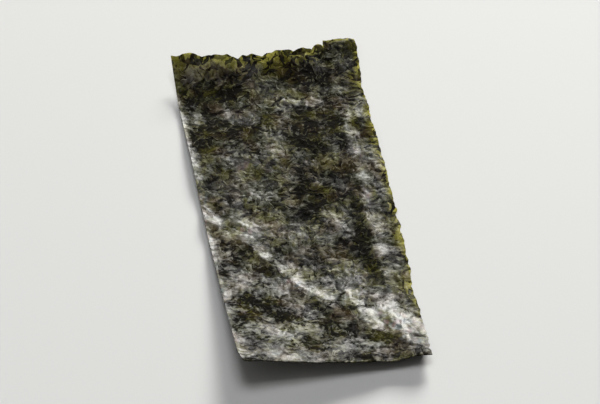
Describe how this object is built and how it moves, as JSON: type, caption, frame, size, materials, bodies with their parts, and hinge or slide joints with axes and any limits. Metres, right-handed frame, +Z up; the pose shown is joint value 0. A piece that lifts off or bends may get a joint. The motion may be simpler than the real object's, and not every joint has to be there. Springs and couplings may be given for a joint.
{
  "type": "seasoned nori sheet",
  "caption": "Crisp rectangular strip of seasoned, roasted seaweed, gently bowed, with two clean cut edges and two ragged uncut edges; eaten as a snack or wrapped around rice.",
  "frame": {"origin": "on the surface that the strip rests on, below the middle of its outline", "axes": "+X across the strip towards its uncut long edge, +Y along the strip towards its uncut short edge, +Z up"},
  "size_m": [0.0418, 0.0954, 0.0095],
  "materials": {
    "nori": "dry, crinkled laver pulp, near-black olive with grey satin glints and yellow-green where it is thin"
  },
  "bodies": {
    "root": {"nori_sheet": "nori"}
  },
  "joints": []
}
